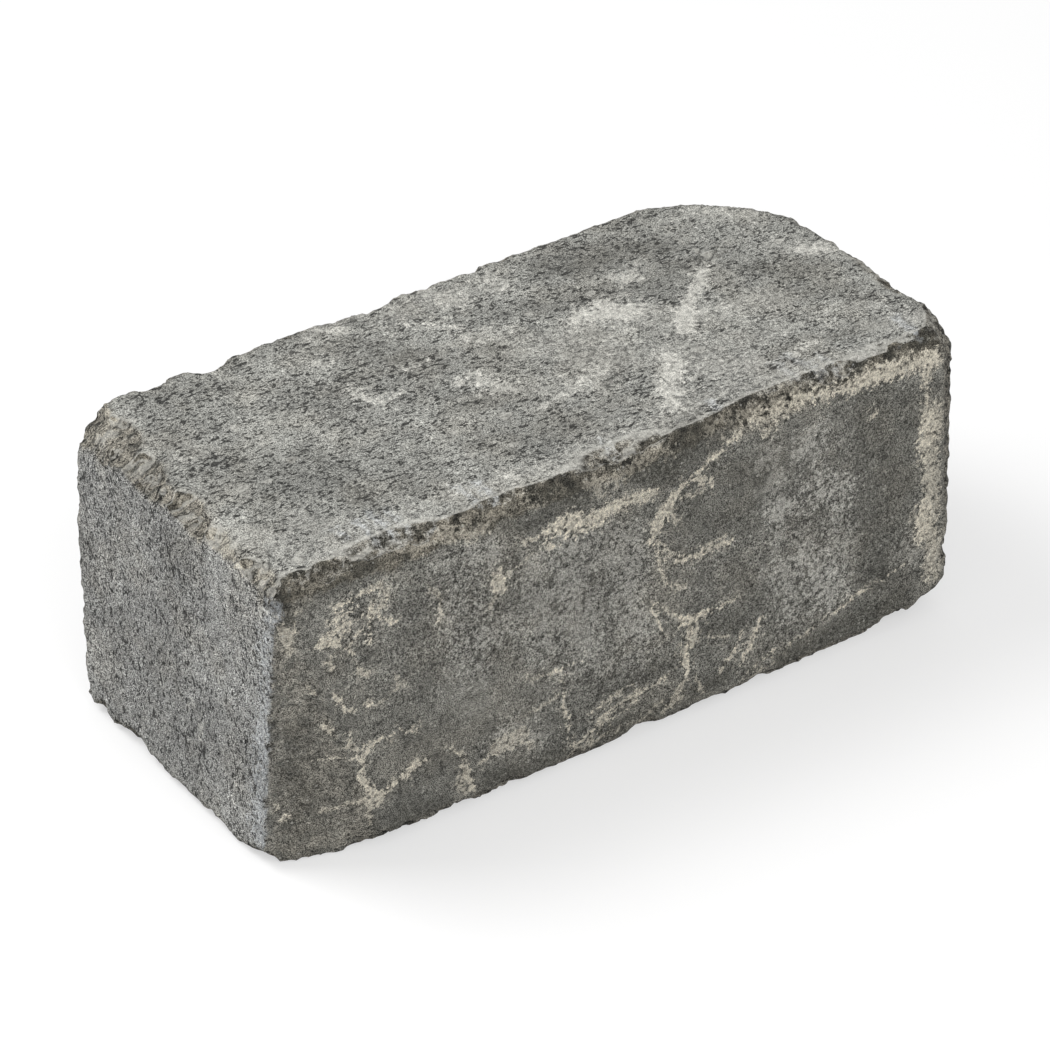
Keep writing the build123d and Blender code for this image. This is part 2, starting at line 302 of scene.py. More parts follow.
# On the top a place is (x, y)
top_lime = [
    # The three long smears
    ((92.5, 17), (86, 10), 2.0, 0.9), ((86, 10), (77, 3), 2.6, 1.0),
    ((77, 3), (68, -5), 3.0, 1.0), ((68, -5), (63, -14), 3.2, 0.9),
    ((46, -26), (42, -35), 3.0, 0.9), ((42, -35), (34, -45), 3.6, 1.0),
    ((34, -45), (28, -53), 3.2, 0.9), ((36, 15), (44, 14), 3.2, 1.0),
    ((42, 13), (54, 9), 4.0, 1.0), ((48, 16), (50, 6), 3.0, 0.9),
    ((55, 17), (65, 27), 1.0, 0.85), ((65, 27), (77, 34), 0.8, 0.6),
    ((64, 30), (68, 26), 1.4, 0.7),
    # The thin line behind them
    ((-19, 48), (-9, 39), 0.45, 0.95), ((-9, 39), (0, 30), 0.6, 0.95),
    ((0, 30), (6, 27), 0.9, 0.5),
    # Single dabs
    ((-6, 28), (-4, 24), 1.8, 0.75), ((-34, 22), (-27, 23), 0.6, 0.7),
    ((-24, 4), (-15, -2), 1.2, 0.9), ((-16, 4), (-20, -3), 1.0, 0.85),
    ((-30, -5), (-24, -6), 0.6, 0.5), ((-59, 21), (-57, 13), 1.4, 0.9),
    ((-57, 13), (-54, 9), 1.6, 0.9), ((-50, 13), (-47, 10), 1.4, 0.7),
    ((-45, 61), (-41, 56), 1.6, 0.7), ((-61, 44), (-57, 42), 1.4, 0.5),
    ((23, 56), (27, 48), 1.6, 0.4), ((133, 6), (141, 0), 2.2, 0.7),
    ((83, -50), (95, -47), 1.0, 0.85), ((95, -47), (107, -42), 0.5, 0.9),
    ((12, -18), (20, -20), 1.6, 0.65), ((-16, -8), (-6, -14), 2.0, 0.5),
    ((-8, -25), (6, -22), 1.4, 0.6), ((-44, -56), (-43, -58), 1.2, 0.8),
    ((-134, 19), (-132, 17), 1.0, 0.6), ((0, 62), (6, 50), 4.0, 0.35),
    ((82, -8), (90, -10), 0.6, 0.6), ((99, 42), (100, 2), 0.25, 0.4),
]

# Pale skim, thin and wide
top_skim = [
    ((-144, -30), (-128, -56), 6.0, 0.5), ((-134, -56), (-100, -60), 4.0, 0.8),
    ((-118, -40), (-104, -56), 6.0, 0.45), ((-100, -58), (-70, -58), 4.0, 0.6),
    ((-66, -54), (-54, -60), 4.0, 0.8), ((-50, -58), (-20, -60), 3.6, 0.7),
    ((-20, -57), (30, -60), 3.6, 0.7), ((30, -52), (60, -58), 5.0, 0.8),
    ((60, -56), (100, -60), 3.6, 0.75), ((120, -50), (138, -56), 5.0, 0.75),
    ((118, -34), (132, -40), 3.0, 0.4), ((10, 8), (56, 4), 9.0, 0.6),
    ((56, -4), (100, -14), 8.0, 0.5), ((18, -8), (50, -24), 9.0, 0.5),
    ((50, -34), (66, -46), 8.0, 0.9), ((40, 14), (50, 8), 7.0, 0.8),
    ((60, -30), (90, -32), 7.0, 0.4), ((-16, 56), (20, 52), 6.0, 0.4),
    ((112, 52), (130, 38), 4.0, 0.6), ((-50, 62), (-30, 62), 4.0, 0.4),
    ((126, 14), (138, 2), 5.0, 0.5), ((0, -18), (20, -26), 5.0, 0.4),
]

# Cold streaks that run off over the front arris
top_blue = [
    ((-113, -50), (-112.5, -57), 1.2, 0.9), ((-104, -50), (-104, -60), 1.4, 0.9),
    ((-97, -48), (-97, -62), 1.2, 0.9), ((-91, -51), (-91, -64), 0.9, 0.7),
    ((-64, -52), (-63.5, -62), 1.6, 0.7), ((-56, -52), (-56, -66), 1.6, 1.0),
    ((-5, -57), (-5, -62), 1.2, 0.7), ((40, -58), (40, -65), 1.4, 0.9),
    ((75, -52), (76, -60), 2.0, 0.5), ((82, -50), (86, -62), 2.4, 0.55),
    ((92, -56), (93, -64), 1.2, 0.6), ((131, -52), (131, -65), 1.6, 1.0),
]

# Dark patches, and painted shade along furrows and in hollows
top_dark = [
    # Painted shade along furrows that run from back to front
    ((-96, -4), (-94, -26), 1.4, 0.7), ((-93, -8), (-93, -48), 0.7, 0.7),
    ((-97, -30), (-97, -46), 0.6, 0.6), ((-73, -22), (-75, -48), 1.8, 0.4),
    ((-64, -24), (-64, -46), 1.4, 0.4), ((-47, -26), (-47, -50), 1.4, 0.4),
    # Patches
    ((-110, -6), (-90, -18), 5.0, 0.3), ((-40, 44), (-28, 26), 6.0, 0.5),
    ((-4, 24), (2, 4), 3.0, 0.5), ((-30, -8), (-8, -16), 5.0, 0.4),
    ((46, 50), (70, 42), 7.0, 0.6), ((70, 44), (92, 38), 6.0, 0.55),
    ((26, 30), (36, 24), 4.0, 0.45), ((62, 22), (84, 20), 6.0, 0.5),
    ((104, 10), (126, -6), 7.0, 0.5), ((112, -12), (128, -28), 6.0, 0.45),
    ((98, -47), (120, -50), 3.6, 0.9), ((-44, -34), (0, -44), 6.0, 0.4),
    # Painted shade in hollows
    ((97, 24), (105, 23), 1.0, 1.0), ((-148, -64), (-144, -66), 1.6, 1.0),
    ((-69, -64), (-66, -64), 1.0, 1.0), ((24, -62.5), (28, -63.5), 1.0, 1.0),
    ((116, -62.5), (120, -63), 0.9, 1.0),
]

# On the left end a place is (y, z)
end_lime = [
    ((-59, 112), (-57, 110), 1.8, 1.0), ((-46, 118), (-44, 112), 1.4, 0.4),
    ((-44, 86), (-42, 82), 2.0, 0.4), ((-13, 75), (-11, 73), 1.2, 0.8),
    ((-17, 46), (-16, 36), 0.7, 0.8), ((-10, 46), (-8, 44), 0.9, 0.6),
    ((-38, 24), (-36, 18), 1.0, 0.5), ((46, 28), (52, 26), 0.7, 0.5),
    ((50, 120), (44, 106), 2.0, 0.4),
]

# The paler strip beside the front left arris
end_skim = [
    ((-66, 122), (-62, 100), 3.0, 0.9), ((-62, 100), (-58, 60), 4.0, 0.8),
    ((-58, 60), (-53, 14), 4.8, 0.9),
]

# Warm crumbs along the left top arris and at the foot of the front left one
end_crumbs = [
    ((62, 125), (48, 124), 1.4, 0.9), ((10, 125), (-2, 124), 1.2, 0.8),
    ((-10, 124), (-20, 121), 1.0, 0.7), ((-26, 125), (-46, 124), 1.4, 0.9),
    ((-48, 125), (-64, 122), 1.2, 0.9), ((-65, 9), (-56, 5), 2.6, 0.9),
]


# Each face: the axis that it faces along and which way, and the axes of a place on it
faces = {
    "front": (Y, -1, X, Z),
    "top": (Z, 1, X, Y),
    "left end": (X, -1, Y, Z),
}

# Every kind of scuff, dark patch and painted shade, by the name of the layer that keeps
# it on the mesh
scuffs = {
    "front damp": ("front", front_dark),
    "front dust": ("front", front_dust),
    "front clay": ("front", front_clay),
    "front band": ("front", front_band),
    "bevel clay": ("front", bevel_clay),
    "top damp": ("top", top_dark),
    "top skim": ("top", top_skim),
    "top lime": ("top", top_lime),
    "top blue": ("top", top_blue),
    "end skim": ("left end", end_skim),
    "end lime": ("left end", end_lime),
    "end crumbs": ("left end", end_crumbs),
}

# The coats that the layers are shown in, the lowest first: the layer, the colour, how
# strong it is, how far the grain breaks up its edge, and how soft that edge is
coats = [
    ("front damp", "dark_and_shade", 0.9, 4.0, 2.0),
    ("front dust", "lime", 0.55, 9.0, 4.0),
    ("bevel clay", "clay", 0.6, 4.0, 1.6),
    ("front band", "clay", 1.25, 2.6, 1.8),
    ("front clay", "clay", 0.3, 4.5, 1.4),
    ("front clay", "clay", 1.1, 1.2, 0.6),
    ("top damp", "dark_and_shade", 0.85, 6.0, 2.4),
    ("top skim", "lime", 0.65, 7.0, 5.0),
    ("top lime", "lime", 0.5, 6.0, 5.0),
    ("top lime", "lime", 0.9, 2.2, 1.6),
    ("top blue", "blue_lime", 0.5, 1.6, 1.4),
    ("end skim", "blue_lime", 0.7, 5.0, 3.0),
    ("end lime", "lime", 0.8, 2.0, 0.9),
    ("end crumbs", "clay", 0.7, 2.4, 1.0),
]

# Sizes of what the concrete shows
sand_size, speck_size, pore_size, grit_size = 0.42, 0.85, 1.7, 2.0
rock_size, pebble_size, crevice_size, mottle_size = 2.8, 3.1, 3.2, 6.5
warm_size, cloud_size = 22.0, 34.0

# How far under the top the bevel's lower edge lies, and over what height it fades
bevel_height, bevel_fade = 10.0, 3.0

# Where each lamp shines from, its size and how far off it hangs, in metres
lamps = {"key": ((-0.45, 0.4, 0.8), 1.0, 2.0), "fill": ((-0.2, -0.8, 0.55), 1.6, 2.2)}

# The floor's size in metres, and the picture's width in the camera in millimetres
floor_size = 12.0
picture_width = 36.0


class WallBlockShape(bpy.types.PropertyGroup):
    """How the block is worn."""

    grid: FloatProperty(
        name="Grid", description="Spacing of the mesh's points",
        default=1.42 * MM, min=0.5 * MM, unit="LENGTH",
    )
    sway: FloatProperty(
        name="Sway", description="Depth of the broad hollows in a face",
        default=0.5 * MM, min=0.0, unit="LENGTH",
    )
    grain: FloatProperty(
        name="Grain", description="Depth of the grain on an open face",
        default=0.4 * MM, min=0.0, unit="LENGTH",
    )
    crumble: FloatProperty(
        name="Crumble", description="Depth of the roughness where an arris is broken",
        default=1.6 * MM, min=0.0, unit="LENGTH",
    )
    small_pits: IntProperty(
        name="Small pits", description="How many small pits are strewn over the block",
        default=420, min=0,
    )
    small_chips: IntProperty(
        name="Small chips", description="How many small chips are strewn along the arrises",
        default=150, min=0,
    )
    seed: IntProperty(
        name="Seed", description="Which strewing of chips and pits is made", default=7,
    )


def screen_colour(name, description, red, green, blue):
    """A colour that a user may set, with its default as it looks on a screen."""
    return FloatVectorProperty(
        name=name, description=description, subtype="COLOR", size=3,
        default=srgb(red, green, blue),
    )


class WallBlockFinish(bpy.types.PropertyGroup):
    """The block's colours."""

    open_face: screen_colour("Open face", "Concrete of the rough top and bed", 143, 143, 138)
    end_face: screen_colour("End face", "Concrete of the ends, a little colder", 150, 150, 147)
    skin: screen_colour("Skin", "Concrete of the smooth front and back", 118, 117, 111)
    warm: screen_colour("Warm", "Patches that are a little brown", 143, 138, 127)
    broken: screen_colour("Broken", "Concrete of the bevel, where it is pale", 116, 111, 100)
    # The colour of the painted shade in the mesh's hollows
    hollow_shade: screen_colour("Pore", "Inside of the hollows", 58, 57, 54)
    sand: screen_colour("Sand", "Pale pebbles in the concrete", 200, 198, 190)
    lime: screen_colour("Lime", "Lime scuffed on the top and the end", 212, 210, 202)
    blue_lime: screen_colour("Blue lime", "Colder streaks beside the front arris", 196, 200, 203)
    clay: screen_colour("Clay", "Clay and lime scuffed on the front", 210, 203, 187)
    # Dark patches, and painted shade in hollows, furrows and under the front crest
    dark_and_shade: screen_colour("Damp", "Dark patches", 64, 63, 57)


class WallBlockStage(bpy.types.PropertyGroup):
    """The floor, the light and the camera."""

    floor_colour: FloatVectorProperty(
        name="Floor", description="Colour of the floor", subtype="COLOR", size=3,
        default=(0.5, 0.5, 0.5),
    )
    sky: FloatProperty(
        name="Sky", description="Brightness of the even light from all sides", default=0.5,
        min=0.0,
    )
    key_power: FloatProperty(
        name="Key power", description="Power of the large lamp behind and above",
        default=24.0, min=0.0, unit="POWER",
    )
    fill_power: FloatProperty(
        name="Fill power", description="Power of the lamp in front", default=20.0,
        min=0.0, unit="POWER",
    )
    azimuth: FloatProperty(
        name="Azimuth", description="Which way the camera looks, from the block's +Y",
        default=math.radians(35.04), subtype="ANGLE",
    )
    elevation: FloatProperty(
        name="Elevation", description="How far down the camera looks",
        default=math.radians(34.11), subtype="ANGLE",
    )
    distance: FloatProperty(
        name="Distance", description="From the camera to the middle of its picture",
        default=1900.8 * MM, unit="LENGTH",
    )
    look_at: FloatVectorProperty(
        name="Look at", description="What lies at the middle of the picture", size=3,
        subtype="XYZ", unit="LENGTH", default=(-0.8 * MM, -3.1 * MM, 59.6 * MM),
    )
    lens: FloatProperty(
        name="Lens", description="Focal length, on a picture 36 mm wide", default=178.3,
        min=1.0, unit="CAMERA",
    )


def even_mesh(spacing):
    """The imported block's faces again, as an even mesh of small squares."""
    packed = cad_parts[NODE]
    stone = bpy.data.objects.new(PIECE, packed.data.copy())
    bpy.context.scene.collection.objects.link(stone)
    remesh = stone.modifiers.new("Even", "REMESH")
    remesh.mode = "VOXEL"
    remesh.voxel_size = spacing
    seat = stone.modifiers.new("Seat", "SHRINKWRAP")
    seat.target = packed
    seat.wrap_method = "NEAREST_SURFACEPOINT"
    graph = bpy.context.evaluated_depsgraph_get()
    mesh = bpy.data.meshes.new_from_object(stone.evaluated_get(graph), depsgraph=graph)
    stone.modifiers.clear()
    coarse = stone.data
    stone.data = mesh
    bpy.data.meshes.remove(coarse)
    mesh.name = PIECE
    return stone


def lumps(points, size, shift=0.0):
    """Smooth random values, from about -1 to 1, with lumps of that size."""
    return np.array([noise.noise(Vector(place)) for place in points / size + shift])


def piled_lumps(points, *layers):
    """Lumps on top of each other: the share, the size and the shift of each layer."""
    return sum(share * lumps(points, size, shift) for share, size, shift in layers)


def smooth_step(values, low, high):
    """0 at low and 1 at high, with a smooth change between, and level beyond them."""
    share = np.clip((values - low) / (high - low), 0, 1)
    return share * share * (3 - 2 * share)


def read_points(mesh):
    """A mesh's points in mm."""
    flat = np.empty(len(mesh.vertices) * 3, np.float32)
    mesh.vertices.foreach_get("co", flat)
    return flat.reshape(-1, 3).astype(float) / MM


def write_points(mesh, points):
    """Moves a mesh's points to places in mm."""
    mesh.vertices.foreach_set("co", (points * MM).astype(np.float32).ravel())
    mesh.update()


def read_normals(mesh):
    """The way out of the block at each of a mesh's points."""
    flat = np.empty(len(mesh.vertices) * 3, np.float32)
    mesh.vertex_normals.foreach_get("vector", flat)
    return flat.reshape(-1, 3).astype(float)


def evened(mesh, values, rounds):
    """Values at a mesh's points, each one averaged with its neighbours' a few times."""
    ends = np.empty(len(mesh.edges) * 2, np.int32)
    mesh.edges.foreach_get("vertices", ends)
    ends = ends.reshape(-1, 2)
    count = np.bincount(ends.ravel(), minlength=len(values))
    for _ in range(rounds):
        total = np.bincount(ends[:, 0], values[ends[:, 1]], len(values))
        total += np.bincount(ends[:, 1], values[ends[:, 0]], len(values))
        values = (values + total) / (1 + count)
    return values


def crumble_arris(points, along, sides, first_width, second_width, unevenness):
    """Planes one arris off by an uneven width."""
    (first, first_side), (second, second_side) = sides.items()
    first_depth = half_size[first] - first_side * (points[:, first] - middle[first])
    second_depth = half_size[second] - second_side * (points[:, second] - middle[second])
    # No arris in the table swells past these limits
    first_limit, second_limit = 3 * first_width + 4, 3 * second_width + 4
    near = np.flatnonzero((first_depth < first_limit) & (second_depth < second_limit))
    # The shift gives each arris lumps of its own
    shift = 11.3 * along + 3.1 * first_side + 7.7 * second_side
    wave = piled_lumps(points[near], (0.6, 26, shift), (0.5, 9, shift), (0.35, 3.5, shift))
    swell = np.clip(1 + 1.7 * unevenness * wave, 0.1, None)
    first_reach = first_width * swell
    second_reach = second_width * swell
    u, v = first_depth[near], second_depth[near]
    short = 1 - u / first_reach - v / second_reach
    push = np.clip(short, 0, None) / (first_reach ** -2 + second_reach ** -2)
    points[near, first] -= first_side * push / first_reach
    points[near, second] -= second_side * push / second_reach


def wave_front_top(points):
    """Dips the front top arris and sets it back in places."""
    top, front = high_corner[Z], low_corner[Y]
    dip = np.zeros(len(points))
    set_back = np.zeros(len(points))
    ragged = points[:, X] + 2.5 * lumps(points, 8, 4.2)
    for place, half_stretch, dipped, back in front_top_waves:
        share = np.clip(1 - ((ragged - place) / half_stretch) ** 2, 0, None)
        dip = np.maximum(dip, dipped * share)
        set_back = np.maximum(set_back, back * share)
    from_front = points[:, Y] - front
    from_top = top - points[:, Z]
    highest = top - dip * np.clip(1 - from_front / dip_reach, 0, 1)
    points[:, Z] = np.minimum(points[:, Z], highest)
    foremost = front + set_back * np.clip(1 - from_top / set_back_reach, 0, 1)
    points[:, Y] = np.maximum(points[:, Y], foremost)


def knock_chip(points, place, chip_length, depth):
    """Knocks a shell-shaped chip out of the points near a place on an arris."""
    place = np.array(place, float)
    # Out along each axis on which the place is about half way out or more
    out = np.round((place - middle) / half_size * 1.02)
    out = out / np.linalg.norm(out)
    ball = (chip_length ** 2 / 4 + depth ** 2) / (2 * depth)
    centre = place + out * (ball - depth)
    near = np.flatnonzero(np.linalg.norm(points - centre, axis=1) < ball + depth)
    if len(near) == 0:
        return
    offset = points[near] - centre
    far = np.linalg.norm(offset, axis=1)
    uneven = piled_lumps(points[near], (0.3, 7, depth), (0.35, 3.2, chip_length))
    ragged = ball + depth * uneven
    reach = np.maximum(ragged / np.maximum(far, tiny), 1.0)
    points[near] = centre + offset * reach[:, None]


def shallower(points, unchipped):
    """The points drawn back where chips on top of each other have dug in too deep."""
    dug = points - unchipped
    deep = np.linalg.norm(dug, axis=1)
    kept = deepest_chip * np.tanh(deep / deepest_chip)
    return unchipped + dug * (kept / np.maximum(deep, tiny))[:, None]


def sunk_into_top_arrises(points):
    """1 where a top arris is sunk in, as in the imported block's chips, 0 on the faces."""
    sunk = np.zeros(len(points))
    for _, sides, *_ in arrises:
        if sides.get(Z) != 1:
            continue
        depths = [half_size[a] - side * (points[:, a] - middle[a]) for a, side in sides.items()]
        beside_arris = smooth_step(np.maximum(*depths), 14, 10)
        under_faces = smooth_step(np.minimum(*depths), 0.6, 1.4)
        sunk = np.maximum(sunk, beside_arris * under_faces)
    return sunk


def strewn_chips(picker, count):
    """Small chips strewn along the arrises."""
    for _ in range(count):
        along, sides, *_ = picker.choice(arrises)
        place = middle.copy()
        place[along] += half_size[along] * picker.uniform(-strewn_end, strewn_end)
        for axis, side in sides.items():
            place[axis] += half_size[axis] * side - side * picker.uniform(0, strewn_inset)
        chip_length = picker.uniform(*strewn_chip_lengths)
        yield place, chip_length, chip_length * picker.uniform(*strewn_chip_shares)


def strewn_pits(picker, count, points):
    """Small pits strewn over the faces."""
    for _ in range(count):
        place = points[picker.randrange(len(points))]
        width = picker.uniform(*strewn_pit_widths)
        yield place, width, width * picker.uniform(*strewn_pit_shares)


def push_pit(points, normals, place, width, depth):
    """Sinks an open pit into a face."""
    far = np.linalg.norm(points - np.array(place, float), axis=1) / (width / 2)
    near = np.flatnonzero(far < 1)
    points[near] -= normals[near] * (depth * (1 - far[near] ** 2) ** 1.5)[:, None]


def wear(stone, shape):
    """Wears the mesh, and keeps on it what its concrete is coloured by."""
    mesh = stone.data
    picker = random.Random(shape.seed)
    points = read_points(mesh)
    wave_front_top(points)
    for arris in arrises:
        crumble_arris(points, *arris)
    unchipped = points.copy()
    for chip in chips:
        knock_chip(points, *chip)
    for chip in strewn_chips(picker, shape.small_chips):
        knock_chip(points, *chip)
    points = shallower(points, unchipped)
    write_points(mesh, points)

    # Concrete is broken where it slants away from the faces, and in the chips
    normals = read_normals(mesh)
    slanting = smooth_step(np.abs(normals).max(axis=1), 0.99, 0.9)
    chipped = smooth_step(np.linalg.norm(points - unchipped, axis=1), 0.1, 0.6)
    chipped = np.maximum(chipped, sunk_into_top_arrises(points))
    broken = evened(mesh, np.maximum(slanting, chipped), 2)
    skin = evened(mesh, smooth_step(np.abs(normals[:, Y]), 0.75, 0.95), 3)

    # The sway, the grain and the crumbling move the points, mostly inwards, and at the
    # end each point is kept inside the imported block's box
    sway = piled_lumps(points, (0.6, 70, 0.0), (0.4, 28, 2.0))
    fine = piled_lumps(points, (0.6, 5.5, 9.0), (0.6, 3.2, 5.0))
    rough = 0.7 * (0.5 - np.abs(lumps(points, 6.5, 1.0))) + 0.7 * lumps(points, 3.4, 3.0)
    sink = shape.sway / MM * (0.5 + 0.5 * sway)
    sink += shape.grain / MM * (1 - 0.6 * skin) * (0.5 + fine)
    sink += shape.crumble / MM * broken * (0.3 + rough)
    points -= normals * sink[:, None]
    for pit in pits:
        push_pit(points, normals, *pit)
    for pit in strewn_pits(picker, shape.small_pits, points):
        push_pit(points, normals, *pit)
    points = np.clip(points, low_corner, high_corner)
    write_points(mesh, points)
    mesh.shade_smooth()

    keep_layer(mesh, "broken", broken)
    # How far each point is sunk, which the material darkens as painted shade
    keep_layer(mesh, "hollow", hollowness(mesh, points))
    wandered = points + wander(points, 16, 1.6) + wander(points, 4.5, 0.8)
    for layer, (face, marks) in scuffs.items():
        for part, values in laid_strokes(wandered, normals, face, marks).items():
            keep_layer(mesh, f"{layer} {part}", values)


def hollowness(mesh, points):
    """How far each point lies sunk in what is round it, in mm, and less than 0 on a ridge."""
    normals = read_normals(mesh)
    level = np.stack([evened(mesh, points[:, axis], 4) for axis in (X, Y, Z)], axis=1)
    return evened(mesh, ((level - points) * normals).sum(axis=1), 1)


def wander(points, size, distance):
    """Small moves of points, with lumps of that size, about as far as a distance."""
    return np.array([noise.noise_vector(Vector(place)) for place in points / size]) * distance


def laid_strokes(points, normals, face, marks):
    """How each point of a face lies to the nearest stroke, in mm.

    "inside" is how far it is inside the stroke, and "beside" how far it is off the
    stroke's own line, less than 0 on one side of it. That one runs evenly across the
    line, so it stays sharp between the mesh's points.
    """
    out_axis, side, across, up = faces[face]
    places = points[:, (across, up)]
    laid = {
        "inside": np.full(len(points), -farthest),
        "beside": np.zeros(len(points)),
        "half width": np.zeros(len(points)),
        "thickness": np.zeros(len(points)),
    }
    for start, end, half_width, thick in marks:
        offset, run = places - start, np.subtract(end, start)
        share = np.clip(offset @ run / (run @ run), 0, 1)
        inside = half_width - np.linalg.norm(offset - share[:, None] * run, axis=1)
        nearer = inside > laid["inside"]
        laid["inside"][nearer] = inside[nearer]
        laid["beside"][nearer] = (offset[nearer] @ (-run[1], run[0])) / np.linalg.norm(run)
        laid["half width"][nearer] = half_width
        laid["thickness"][nearer] = thick
    laid["thickness"] *= smooth_step(laid["inside"], -farthest, -farthest / 2)
    laid["thickness"] *= smooth_step(normals[:, out_axis] * side, 0.25, 0.6)
    return laid


def keep_layer(mesh, name, values):
    """Keeps a value for each point of a mesh as a named attribute."""
    layer = mesh.attributes.new(name, "FLOAT", "POINT")
    layer.data.foreach_set("value", values.astype(np.float32))


class Weave:
    """Adds nodes to a material or a world, each one linked to what it takes."""

    def __init__(self, owner):
        owner.use_nodes = True
        self.tree = owner.node_tree
        self.tree.nodes.clear()

    def node(self, kind, inputs=(), **settings):
        """A node with its settings, its inputs set by name or number, or linked."""
        made = self.tree.nodes.new(kind)
        for name, value in settings.items():
            setattr(made, name, value)
        for name, value in dict(inputs).items():
            if isinstance(value, bpy.types.NodeSocket):
                self.tree.links.new(value, made.inputs[name])
            elif value is not None:
                made.inputs[name].default_value = value
        return made

    def math(self, operation, a, b=None):
        """A number made from one or two others."""
        return self.node("ShaderNodeMath", {0: a, 1: b}, operation=operation).outputs[0]

    def plus(self, a, b):
        """The sum of two numbers."""
        return self.math("ADD", a, b)

    def times(self, a, b, *others):
        """The product of numbers."""
        made = self.math("MULTIPLY", a, b)
        return self.times(made, *others) if others else made

    def weighed(self, parts):
        """The sum of numbers, each one times its weight."""
        made = None
        for value, weight in parts:
            product = self.times(value, weight)
            made = product if made is None else self.plus(made, product)
        return made

    def stretched(self, place, by):
        """A place moved in or out along each axis, which stretches what is laid there."""
        made = self.node("ShaderNodeVectorMath", {0: place, 1: by}, operation="MULTIPLY")
        return made.outputs[0]

    def scaled(self, vector, scale):
        """A place or a colour times a number."""
        made = self.node("ShaderNodeVectorMath", {0: vector, "Scale": scale}, operation="SCALE")
        return made.outputs[0]

    def rise(self, value, low, high, start=0.0, end=1.0, kind="SMOOTHSTEP"):
        """From start at low to end at high, by an even or smooth change, and level beyond."""
        inputs = {"Value": value, "From Min": low, "From Max": high, "To Min": start, "To Max": end}
        limit = kind == "LINEAR"
        made = self.node("ShaderNodeMapRange", inputs, interpolation_type=kind, clamp=limit)
        return made.outputs[0]

    def spread(self, value, low=0.3, high=0.7):
        """A noise value spread out to about -1 to 1."""
        return self.rise(value, low, high, -1.0, 1.0, "LINEAR")

    def mix(self, share, a, b):
        """Colour a, changed to colour b by a share."""
        inputs = {0: share}
        for number, tint in ((6, a), (7, b)):
            inputs[number] = tint if isinstance(tint, bpy.types.NodeSocket) else (*tint, 1)
        return self.node("ShaderNodeMix", inputs, data_type="RGBA").outputs[2]

    def noise(self, place, size, detail=2.0, roughness=0.5):
        """Random values round 0.5, with lumps of that size."""
        inputs = {"Vector": place, "Scale": 1 / size, "Detail": detail, "Roughness": roughness}
        return self.node("ShaderNodeTexNoise", inputs).outputs["Fac"]

    def cells(self, place, size):
        """How far the middle of the nearest cell is, in cells of that size."""
        inputs = {"Vector": place, "Scale": 1 / size}
        return self.node("ShaderNodeTexVoronoi", inputs).outputs["Distance"]

    def layer(self, name):
        """What the mesh keeps under a name."""
        return self.node("ShaderNodeAttribute", attribute_name=name).outputs["Fac"]

    def seen(self):
        """1 for what the camera, a reflection or a clear thing sees, 0 for light."""
        path = self.node("ShaderNodeLightPath").outputs
        seen = self.math("MAXIMUM", path["Is Camera Ray"], path["Is Glossy Ray"])
        return self.math("MAXIMUM", seen, path["Is Transmission Ray"])


def open_pores(weave, place, mottle, cloud, crevice_depth):
    """1 in the pores and crevices, and 1 on the bright specks between them.

    The pores are drawn out along the block, small ones close together and large ones
    far apart, and crevices wind between them. The lime has filled some of them. The
    material darkens the pores and crevices, partly as painted shade in them.
    """
    drawn = weave.stretched(place, (0.55, 1.0, 0.6))
    crowded = weave.weighed([(mottle, 0.025), (cloud, 0.02)])
    speck = weave.noise(drawn, speck_size, 0.0)
    small = weave.rise(weave.plus(speck, crowded), 0.33, 0.27)
    bright = weave.rise(speck, 0.68, 0.78)
    large = weave.noise(drawn, pore_size, 2.0, 0.65)
    large = weave.rise(weave.plus(large, crowded), 0.405, 0.37)
    winding = weave.math("SUBTRACT", weave.noise(drawn, crevice_size, 2.0, 0.6), 0.5)
    crevices = weave.rise(weave.math("ABSOLUTE", winding), 0.02, 0.006)
    crevices = weave.times(crevices, weave.rise(weave.noise(place, 5.0, 1.0), 0.5, 0.58))
    pores = weave.math("MAXIMUM", weave.times(small, 0.7), large)
    pores = weave.math("MAXIMUM", pores, weave.times(crevices, crevice_depth))
    for name, share in (("top lime", 0.7), ("top skim", 0.5)):
        filled = weave.times(weave.rise(weave.layer(name + " inside"), -1.5, 1.0), share)
        pores = weave.times(pores, weave.math("SUBTRACT", 1.0, filled))
    return pores, bright


def scuffed(weave, finish, colour, flecks, speckle, worn_thin):
    """A colour with all the coats on it: scuffs, dark patches and painted shade."""
    for name, tint, strength, ragged, soft in coats:
        beside = weave.math("ABSOLUTE", weave.layer(name + " beside"))
        sharp = weave.math("SUBTRACT", weave.layer(name + " half width"), beside)
        inside = weave.math("MINIMUM", sharp, weave.plus(weave.layer(name + " inside"), 1.0))
        inside = weave.plus(inside, weave.times(flecks, ragged))
        thickness = weave.layer(name + " thickness")
        cover = weave.times(weave.rise(inside, -soft, soft), thickness, worn_thin, strength)
        colour = weave.mix(cover, colour, weave.scaled(getattr(finish, tint), speckle))
    return colour


